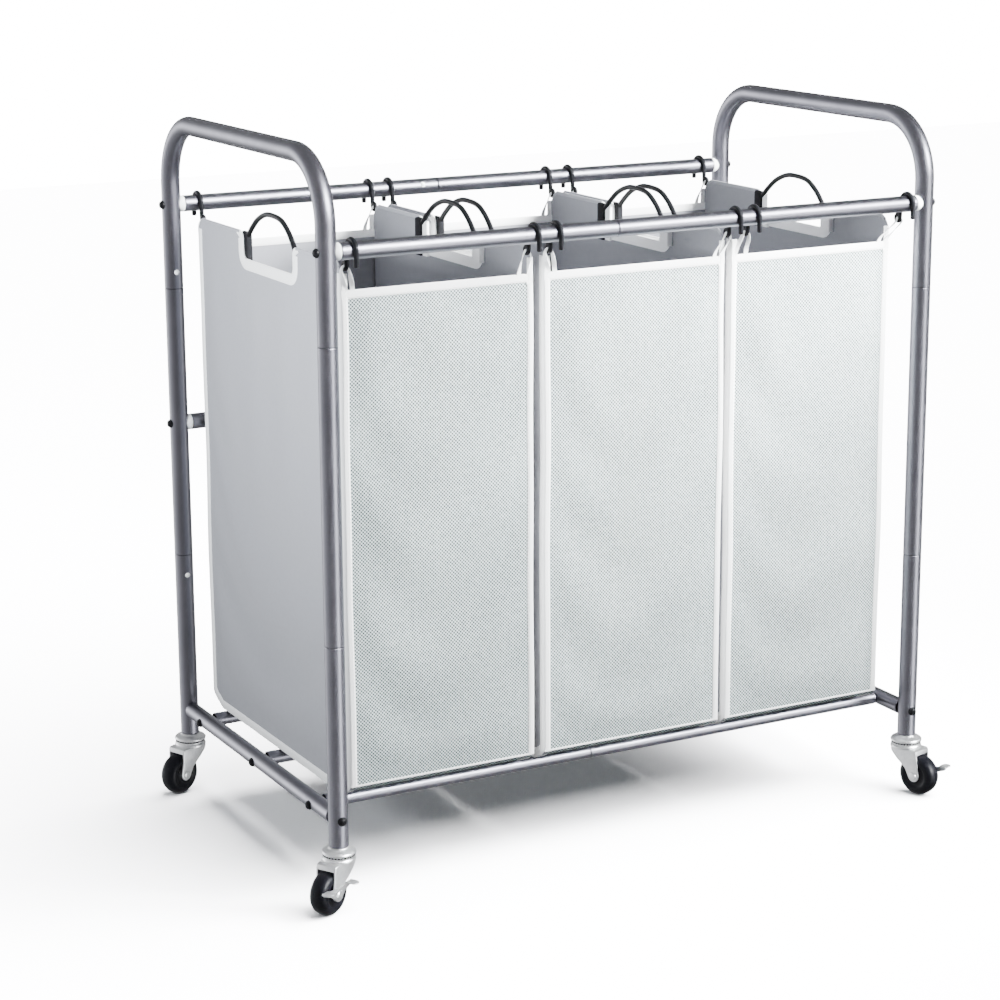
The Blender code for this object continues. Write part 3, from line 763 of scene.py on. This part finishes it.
def settled(bag, points, sheets):
    """The cloth after a short simulation: its own weight, a breath of air and a little spare cloth."""
    faces = [face for sheet_faces, _ in sheets.values() for face in sheet_faces]
    item = placed("cloth", new_mesh("cloth", (points, faces)))
    group = item.vertex_groups.new(name="held")
    group.add([int(i) for i in np.flatnonzero(held_points(bag, points))], 1.0, "ADD")
    modifier = item.modifiers.new("cloth", "CLOTH")
    cloth = modifier.settings
    cloth.vertex_group_mass = "held"
    cloth.quality = 6
    cloth.mass = 0.25
    cloth.tension_stiffness = cloth.compression_stiffness = 40.0
    cloth.shear_stiffness = 20.0
    cloth.bending_stiffness = 8.0
    cloth.shrink_min = -0.003
    cloth.use_pressure = True
    cloth.uniform_pressure_force = 0.2
    modifier.collision_settings.use_collision = False
    modifier.point_cache.frame_start = 1
    modifier.point_cache.frame_end = SIM_FRAMES
    scene = bpy.context.scene
    for number in range(1, SIM_FRAMES + 1):
        scene.frame_set(number)
    made = item.evaluated_get(bpy.context.evaluated_depsgraph_get()).to_mesh()
    after = np.array([vertex.co for vertex in made.vertices])
    bpy.data.objects.remove(item)
    scene.frame_set(1)
    shift = after - points
    size = np.linalg.norm(shift, axis=1, keepdims=True)
    x, y, z = points.T
    at_side = np.minimum(x - bag.left, bag.right - x)
    at_end = bag.half - np.abs(y)
    inward = np.where(at_side < SAME, at_end, np.where(at_end < SAME, at_side, 0.0))
    inward = np.minimum(inward, np.minimum(bag.rim - 0.004 - z, z - bag.edge))
    free = np.clip((inward - 0.009) / 0.022, 0.0, 1.0)[:, None]
    return points + shift * free * np.minimum(SIM_SHARE, SIM_MOST / np.maximum(size, 1e-9))


def eased(points, seed):
    """Small slow waves in all of a bag's cloth and tape, so that no edge is dead straight."""
    x, y, z = np.asarray(points).T
    share = np.clip((z - 0.13) / 0.2, 0.0, 1.0) * np.clip((0.675 - z) / 0.08, 0.0, 1.0)
    dx = 0.0007 * np.sin(11.0 * z + 5.0 * y + seed) + 0.0004 * np.sin(27.0 * z + seed * 2.1)
    dy = 0.0006 * np.sin(13.0 * x + 9.0 * z + seed * 1.7)
    dz = 0.0005 * np.sin(17.0 * x + 15.0 * y + seed * 0.6)
    return np.asarray(points) + np.stack([dx * share, dy * share, dz * share], axis=1)


def sheet_piece(name, points, faces, uvs, bag, material):
    """One sheet of the shell, smooth and CLOTH thick, with the side cloth darkened on its inner side as
    painted shade.
    """
    used = sorted({i for face in faces for i in face})
    lookup = {old: new for new, old in enumerate(used)}
    shape = (points[used], [tuple(lookup[i] for i in face) for face in faces])
    mesh = bpy.data.meshes.new(name)
    mesh.from_pydata(shape[0].tolist(), [], shape[1])
    layer = mesh.uv_layers.new(name="UVMap")
    for polygon, corners in zip(mesh.polygons, uvs):
        for loop, corner in zip(polygon.loop_indices, corners):
            layer.data[loop].uv = corner
    mesh.shade_smooth()
    mesh.materials.append(material)
    # second material, on the inner face and the rims: the darker cloth that paints the shade inside the
    # bag
    mesh.materials.append(MATERIALS["inner_shade"])
    item = placed(name, mesh)
    finer = item.modifiers.new("finer", "SUBSURF")
    finer.levels = finer.render_levels = 1
    thick = item.modifiers.new("cloth", "SOLIDIFY")
    thick.thickness = CLOTH
    thick.offset = -1.0
    thick.material_offset = thick.material_offset_rim = 1
    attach(item, bag.body)
    return item


def fold_section(width):
    """Tape folded over a raw edge: a runs into the panel, b out of its face."""
    inner, bite = -CLOTH - TAPE, 0.0001
    section = [(width, TAPE - 0.0003), (width - 0.0005, TAPE), (width / 2, TAPE + 0.0001)]
    section += arc((0.0, -CLOTH / 2), CLOTH / 2 + TAPE, 90.0, 270.0, 8)
    section += [(width / 2, inner - 0.0001), (width - 0.0005, inner), (width, inner + 0.0003)]
    section += [(width, bite - CLOTH), (0.0004, bite - CLOTH), (0.0004, -bite), (width, -bite)]
    return section


def corner_section(on_side, on_front):
    """Tape round a sewn corner: a runs into the side panel, b into the front, rear or floor panel."""
    bend, bite = 0.0014, 0.0002
    section = [(on_side, -TAPE + 0.0003), (on_side - 0.0005, -TAPE), (on_side / 2, -TAPE - 0.0002)]
    section += arc((bend, bend), bend + TAPE, 270.0, 180.0, 7)
    section += [(-TAPE - 0.0002, on_front / 2), (-TAPE, on_front - 0.0005), (-TAPE + 0.0003, on_front)]
    return section + [(bite, on_front), (bite, bite), (on_side, bite)]


def tape_uv(item):
    """A UV map from each face's two longest axes, in metres."""
    mesh = item.data
    layer = mesh.uv_layers.new(name="UVMap")
    for polygon in mesh.polygons:
        axis = int(np.argmax(np.abs(polygon.normal)))
        others = [k for k in range(3) if k != axis]
        for loop in polygon.loop_indices:
            co = mesh.vertices[mesh.loops[loop].vertex_index].co
            layer.data[loop].uv = (co[others[0]], co[others[1]])


def sewn(name, shape, material, body):
    """A visible piece of cloth or tape that isn't one of the shell's sheets."""
    item = show(name, shape, material, body)
    tape_uv(item)
    return item


def finely(path, step=0.006):
    """The same line with more points, so that it can take the bag's slow waves."""
    path = np.array(path, float)
    out = [path[0]]
    for first, second in zip(path, path[1:]):
        count = max(1, math.ceil(np.linalg.norm(second - first) / step))
        out += [first + (second - first) * k / count for k in range(1, count + 1)]
    return np.array(out)


def tangents(path):
    ahead = np.vstack([path[1:], path[-1:]])
    behind = np.vstack([path[:1], path[:-1]])
    return np.array([unit(v) for v in ahead - behind])


def stitches(path, out, inset, into):
    """A row of stitches along a path, each a low rounded bar. into points away from the edge."""
    reach, way = reaches(path), tangents(path)
    out, into = np.broadcast_to(out, path.shape), np.broadcast_to(into, path.shape)
    shapes = []
    turn = np.linspace(0.0, 2.0 * math.pi, 6, endpoint=False)[:, None]
    for start in np.arange(0.002, reach[-1] - STITCH, STITCH + STITCH_GAP):
        rings = []
        for share, size in ((0.0, 0.35), (0.18, 1.0), (0.82, 1.0), (1.0, 0.35)):
            s = start + STITCH * share
            k = min(int(np.searchsorted(reach, s)), len(path) - 1)
            at = np.array([np.interp(s, reach, path[:, axis]) for axis in range(3)])
            rise = TAPE + 0.00012 * (size - 0.35)
            centre = at + into[k] * inset + out[k] * rise
            across = np.cross(way[k], out[k])
            rings.append(centre + 0.00028 * size * (np.cos(turn) * across + np.sin(turn) * out[k]))
        shapes.append((np.concatenate(rings), ring_faces(4, 6)))
    return shapes


def corner_path(bag, x):
    """Where tape binds a side panel to its neighbours: the path, and the way into the panel."""
    base = bag.base_line()
    outline = [(-bag.half, bag.top - 0.012), (-bag.half, bag.edge + 0.004), *base[1:-1]]
    outline += [(bag.half, bag.edge + 0.004), (bag.half, bag.top - 0.012)]
    path = finely([(x, y, z) for y, z in outline])
    into = np.cross(tangents(path), X)
    into = into * np.sign((into * (np.array([x, 0.0, 0.4]) - path)).sum(axis=1, keepdims=True))
    return path, into


def cut_out_path(bag, x):
    """Round the hand cut-out, from the panel's top edge at the front to the one at the rear."""
    ear, low, high = bag.top - CUT_OUTER, bag.rim + CUT_INNER, CUT_OUTER + EAR_REACH
    outline = [(CUT_FRONT - high, bag.top)]
    outline += arc((CUT_FRONT - CUT_OUTER, ear), CUT_OUTER, 90.0, 0.0, 7)
    outline += arc((CUT_FRONT + CUT_INNER, low), CUT_INNER, 180.0, 270.0, 7)
    outline += arc((CUT_REAR - CUT_INNER, low), CUT_INNER, 270.0, 360.0, 7)
    outline += arc((CUT_REAR + CUT_OUTER, ear), CUT_OUTER, 180.0, 90.0, 7)
    outline += [(CUT_REAR + high, bag.top)]
    return finely([(x, y, z) for y, z in outline], 0.004)


def build_bag(bag, seed):
    points, sheets, wrap = bag_cloth(bag)
    points = eased(settled(bag, points, sheets), seed)
    run = float(reaches(wrap)[-1])
    side_size = (2 * bag.half, bag.top - bag.floor)
    cut = (CUT_REAR - CUT_FRONT) * (bag.top - bag.rim)
    areas = {"wrap": bag.width * run}
    areas["side_left"] = areas["side_right"] = side_size[0] * side_size[1] - cut
    for name, (faces, uvs) in sheets.items():
        material = MATERIALS["front" if name == "wrap" else "side"]
        full = f"bag_{bag.place}_{name}_panel"
        sheet_piece(full, points, faces, uvs, bag, material)
    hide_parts(f"bag_{bag.place}")
    tapes, rows, hems = [], [], []

    def bind(path, into, out, width):
        tapes.append(ribbon(path, into, out, fold_section(width)))
        rows.extend(stitches(path, out, width - SEAM_INSET, into))

    for x, inward in ((bag.left, 1), (bag.right, -1)):
        across = X * inward
        path, into = corner_path(bag, x)
        tapes.append(ribbon(path, into, across, corner_section(TAPE_SIDE, TAPE_FRONT)))
        rows += stitches(path, -across, TAPE_SIDE - SEAM_INSET, into)
        rows += stitches(path, -into, TAPE_FRONT - SEAM_INSET, across)
        path = cut_out_path(bag, x)
        into = np.cross(tangents(path), X)
        aim = np.array([x, bag.cut_middle, bag.top + 0.05])
        into = into * np.sign((into * (path - aim)).sum(axis=1, keepdims=True))
        from_ear = np.abs(path[:, 1:2] - bag.cut_middle) - (CUT_REAR - CUT_FRONT) / 2
        into *= 1.0 - 0.68 * np.clip(from_ear / (CUT_OUTER + EAR_REACH), 0.0, 1.0)
        bind(path, into, -across, BAND)
        for way, cut_end in ((-1, CUT_FRONT), (1, CUT_REAR)):
            edge = [(x, way * (bag.half - CORNER_BACK), bag.top - CORNER_DROP)]
            edge += [(x, way * (bag.half - 0.014), bag.top), (x, cut_end + way * CUT_OUTER, bag.top)]
            hems.append(ribbon(finely(edge), -Z, -across, fold_section(HEM)))
    for way in (-1, 1):
        path = finely([(x, way * bag.half, bag.rim) for x in (bag.left, bag.right)])
        bind(path, -Z, Y * way, RIM_TAPE)
        foot = finely([(x, way * bag.half, bag.edge + 0.005) for x in (bag.left, bag.right)])
        tapes.append(ribbon(foot, -Z, Y * way, [(0, 0), (0, TAPE), (0.0018, TAPE), (0.0018, 0)]))
    shape, faces = joined(tapes)
    tape = sewn(f"bag_{bag.place}_binding", (eased(shape, seed), faces), "tape", bag.body)
    sewn(f"bag_{bag.place}_hem", joined(hems), "side", bag.body)
    shape, faces = joined(rows)
    thread = sewn(f"bag_{bag.place}_stitching", (eased(shape, seed), faces), "tape", bag.body)


# ---- hooks, hanging loops and carry loops ----

HOOK_WIRE = 0.0028
EYE = 0.0038
LOOP_WIRE = 0.0030


def hook(bag, front, end):
    """Wire hook over the top rail. Its inner leg ends in a small eye for the bag's loop of tape."""
    side_name = "front" if front < 0 else "rear"
    node = f"hook_{bag.place}_bag_{side_name}_{end}"
    low, high = node_box(node)
    x = (low[0] + high[0]) / 2
    rail_y, rail_z = sum(node_box(f"top_rail_{side_name}_left_half"))[1:] / 2
    bend = high[2] - HOOK_WIRE - rail_z
    outline = [(bend, low[2] + 0.001 - rail_z), *arc((0.0, 0.0), bend, 0.0, 180.0, 22)]
    outline += [(-bend - 0.0009, -0.0080)]
    eye = (-bend - 0.0012 - EYE, low[2] - 0.0002 - rail_z)
    outline += arc(eye, EYE, 0.0, -330.0, 20)
    path = finely([(x, rail_y + front * y, rail_z + z) for y, z in outline], 0.0012)
    length = reaches(path)[-1]
    steps = np.linspace(0.0012, length - 0.0010, max(60, int(length / 0.0012)))
    thin = HOOK_WIRE * 0.86
    places = [0.0, length * 0.55, length * 0.80, length]
    radii = np.interp(steps, places, [HOOK_WIRE, HOOK_WIRE, thin, thin])
    stations = [(0.0, HOOK_WIRE * 0.35), (0.0004, HOOK_WIRE * 0.8), *zip(steps, radii)]
    stations += [(length - 0.0003, thin * 0.8), (length, thin * 0.35)]
    show(node + "_wire", pipe(path, stations, X, 16), "wire", bag.body, node)
    return np.array([x, rail_y + front * eye[0], rail_z + eye[1]])


def hanging_loop(bag, front, end, eye):
    """Tape that leaves the bag's corner, passes through the hook's eye and returns to the rim."""
    inward = 1 if end == "left" else -1
    edge = bag.left if end == "left" else bag.right
    y = front * (bag.half + 0.0004)
    across = np.clip(inward * (eye[0] - edge) + 0.0080, 0.0125, 0.0190)
    foot = [(edge + inward * 0.0042, y, bag.rim - 0.010), (edge + inward * 0.0038, y, bag.rim + 0.003)]
    top = [(eye[0] - inward * 0.0046, eye[1], eye[2] - 0.0060), (eye[0], eye[1], eye[2] + 0.0006)]
    top += [(eye[0] + inward * 0.0046, eye[1], eye[2] - 0.0060)]
    back = [(edge + inward * across, y, bag.rim + 0.005), (edge + inward * across, y, bag.rim - 0.006)]
    path = smooth_line([*foot, *top, *back], 8)
    share = np.clip((path[:, 2] - bag.rim) / (eye[2] - bag.rim), 0.0, 1.0)
    wide = np.where(np.arange(len(path)) < len(path) / 2, 0.0034, 0.0026) * (1.0 - share) + 0.0020 * share
    rings = []
    for point, way, turn, half in zip(path, tangents(path), share * math.pi / 2, wide):
        flat = unit(X * inward * math.cos(turn) - Y * math.sin(turn))
        out = unit(np.cross(way, flat))
        corners = ((-half, -0.0004), (half, -0.0004), (half, 0.0004), (-half, 0.0004))
        rings.append([point + flat * a + out * b for a, b in corners])
    shape = (np.concatenate(rings), ring_faces(len(path), 4))
    side_name = "front" if front < 0 else "rear"
    sewn(f"bag_{bag.place}_loop_{side_name}_{end}", shape, "tape", bag.body)


def smooth_line(points, steps):
    """A Catmull-Rom curve through the points."""
    points = np.array(points, float)
    full = np.vstack([2 * points[0] - points[1], points, 2 * points[-1] - points[-2]])
    out = []
    for a, b, c, d in zip(full, full[1:], full[2:], full[3:]):
        for t in np.linspace(0.0, 1.0, steps, endpoint=False):
            square, cube = 2 * a - 5 * b + 4 * c - d, 3 * b - a - 3 * c + d
            out.append(0.5 * (2 * b + (c - a) * t + square * t**2 + cube * t**3))
    return np.array([*out, points[-1]])


def carry_loop(bag, end):
    """Black arched grip. A black webbing tab holds its rear foot and white tape its front foot to the
    inside of the side panel; the right grip has more white tape in front of its tab.
    """
    node = f"carry_loop_{bag.place}_bag_{end}"
    low, high = node_box(node)
    inward = 1 if end == "left" else -1
    x = (low[0] + high[0]) / 2
    radius = LOOP_WIRE
    foot, top = low[2] + 0.002, high[2] - radius
    outline = [(0.0692, foot), (0.0692, 0.7030), (0.0672, 0.7068), (0.0610, 0.7032), (0.0454, 0.7160)]
    outline += [(0.0278, 0.7275), (0.0044, top - 0.0004), (-0.0205, top), (-0.0369, 0.7332)]
    outline += [(-0.0485, 0.7275), (-0.0595, 0.7192), (-0.0696, 0.7080), (-0.0750, 0.6980)]
    outline += [(-0.0765, foot)]
    path = smooth_line([(x, y, z) for y, z in outline], 8)
    length = reaches(path)[-1]
    steps = np.linspace(0.001, length - 0.001, 150)
    stations = [(0.0, radius * 0.6), *((s, radius) for s in steps), (length, radius * 0.6)]
    show(node + "_wire", pipe(path, stations, X, 16), "wire", bag.body, node)
    near = x - inward * (radius + 0.0001)

    def strap(y0, y1, bottom, peak, thick):
        far = near + inward * thick
        outline = [(near, bottom), (near, peak - 0.0015), (near + inward * 0.0012, peak)]
        outline += [(far - inward * 0.0012, peak), (far, peak - 0.0020), (far, bottom)]
        return worked(prism(outline, y0, y1, 1), softened(0.0005, 2))

    seam = 0.0550 if end == "left" else 0.0590  # the front edge of the rear foot's black tab
    tab = strap(seam, 0.0726, bag.rim - 0.013, bag.top, 2 * radius + 0.0006)
    covers = [strap(-0.0895, -0.0715, bag.rim - 0.002, bag.top - 0.0030, 2 * radius + 0.0010)]
    if end == "right":
        covers.insert(0, strap(0.0478, seam, bag.rim - 0.013, bag.top - 0.0022, 0.0036))
    sewn(f"{node}_strip", joined(covers), "tape", bag.body)
    sewn(f"{node}_webbing", tab, "web", bag.body)


def build_bags():
    for seed, place in enumerate(("left", "middle", "right")):
        bag = Bag(place)
        build_bag(bag, 1.3 + 2.1 * seed)
        for front in (-1, 1):
            for end in ("left", "right"):
                eye = hook(bag, front, end)
                hanging_loop(bag, front, end, eye)
        for end in ("left", "right"):
            carry_loop(bag, end)


# ---- camera, floor and light ----


def build_camera():
    azimuth, elevation, roll = (math.radians(value) for value in (28.20, 14.02, -0.343))
    level = math.cos(elevation)
    ahead = Vector((level * math.sin(azimuth), level * math.cos(azimuth), -math.sin(elevation)))
    right = Vector((math.cos(azimuth), -math.sin(azimuth), 0.0))
    up = right.cross(ahead)
    side = math.cos(roll) * right + math.sin(roll) * up
    upright = side.cross(ahead)
    camera = placed("camera", bpy.data.cameras.new("camera"))
    turn = Matrix((side, upright, -ahead)).transposed().to_4x4()
    camera.matrix_world = Matrix.Translation((-1.4989, -2.6768, 1.1330)) @ turn
    camera.data.lens = 94.68
    camera.data.sensor_width = 36.0
    bpy.context.scene.camera = camera


def build_floor():
    floor = placed("floor", new_mesh("floor", block((-6, -6, -0.01), (6, 6, 0.0))))
    m = Nodes("floor", (0.85, 0.85, 0.87), 0.7)
    m.colour(m.noise(2.0, 3.0), (0.84, 0.84, 0.86), (0.86, 0.86, 0.88))
    floor.data.materials.append(m.material)
    floor.visible_diffuse = floor.visible_glossy = False
    return floor


def area_light(name, place, target, size, power, colour=(1.0, 1.0, 1.0)):
    """A soft light that lights cloth and paint evenly. What shiny parts reflect comes from the room."""
    light = placed(name, bpy.data.lights.new(name, "AREA"))
    light.data.shape = "RECTANGLE"
    light.data.size, light.data.size_y = size
    light.data.energy = power
    light.data.color = colour
    light.location = place
    light.rotation_euler = (Vector(target) - Vector(place)).to_track_quat("-Z", "Y").to_euler()
    light.visible_glossy = light.visible_camera = False
    return light


def link_light(light, item, state):
    """Lights only the item, or all but the item."""
    group = bpy.data.collections.new(light.name)
    group.objects.link(item)
    group.collection_objects[0].light_linking.link_state = state
    light.light_linking.receiver_collection = group


FILL = 0.34  # light from all round on cloth
ROOM_BASE = 0.40  # brightness of the dim studio that shiny parts reflect
COOL = (0.975, 1.0, 0.995)
COLD = (0.93, 0.97, 1.0)
BACKDROP = 17.5  # brightness of the white studio that the camera sees
# Bright parts of the room: direction, brightness, and how narrow each one is
ROOM_LIGHTS = (
    ((0.4585, -0.7696, 0.4443), 170.0, 60.0),
    ((0.470, -0.849, -0.242), 14.0, 60.0),
    ((-0.55, 0.83, -0.02), 7.0, 30.0),
    ((-0.90, 0.38, -0.15), 1.0, 5.0),
)


def build_light(floor):
    world = bpy.data.worlds.new("studio")
    bpy.context.scene.world = world
    world.cycles.sampling_method = "NONE"
    tree = Tree(world)
    way = tree.add("ShaderNodeTexCoord").outputs["Generated"]
    room = ROOM_BASE
    for direction, strength, narrow in ROOM_LIGHTS:
        inputs = {0: way, 1: Vector(direction).normalized()}
        dot = tree.add("ShaderNodeVectorMath", inputs, operation="DOT_PRODUCT").outputs["Value"]
        near = tree.maths("EXPONENT", tree.maths("MULTIPLY_ADD", dot, narrow, -narrow))
        room = tree.maths("MULTIPLY_ADD", near, strength, room)
    rays = tree.add("ShaderNodeLightPath")
    total = 0.0
    for ray, strength in (("Is Diffuse Ray", FILL), ("Is Glossy Ray", room), ("Is Camera Ray", BACKDROP)):
        total = tree.maths("MULTIPLY_ADD", rays.outputs[ray], strength, total)
    back = world.node_tree.nodes["Background"]
    back.inputs["Color"].default_value = (0.96, 0.98, 1.0, 1.0)
    world.node_tree.links.new(total, back.inputs["Strength"])

    key = area_light("key", (0.75, -0.68, 1.22), (0.25, -0.2, 0.83), (0.5, 0.5), 68.0, COOL)
    key.data.spread = math.radians(90.0)
    left = area_light("left", (-1.15, -0.40, 0.72), (-0.36, 0.0, 0.72), (0.7, 0.16), 12.5, COLD)
    left.data.spread = math.radians(110.0)
    area_light("top", (0.0, 0.1, 2.4), (0.0, 0.0, 0.5), (1.6, 1.2), 6.0)
    rear = area_light("rear", (0.3, 2.0, 0.95), (0.0, 0.2, 0.45), (1.4, 0.9), 26.0, COOL)
    link_light(rear, floor, "EXCLUDE")
    sun = placed("floor_light", bpy.data.lights.new("floor_light", "SUN"))
    sun.data.energy = 66.0
    sun.data.angle = math.radians(70.0)
    sun.rotation_euler = Vector((-0.88, 0.47, -1.60)).to_track_quat("-Z", "Y").to_euler()
    sun.visible_glossy = False
    link_light(sun, floor, "INCLUDE")


build_camera()
build_light(build_floor())
build_frame()
build_casters()
build_bags()
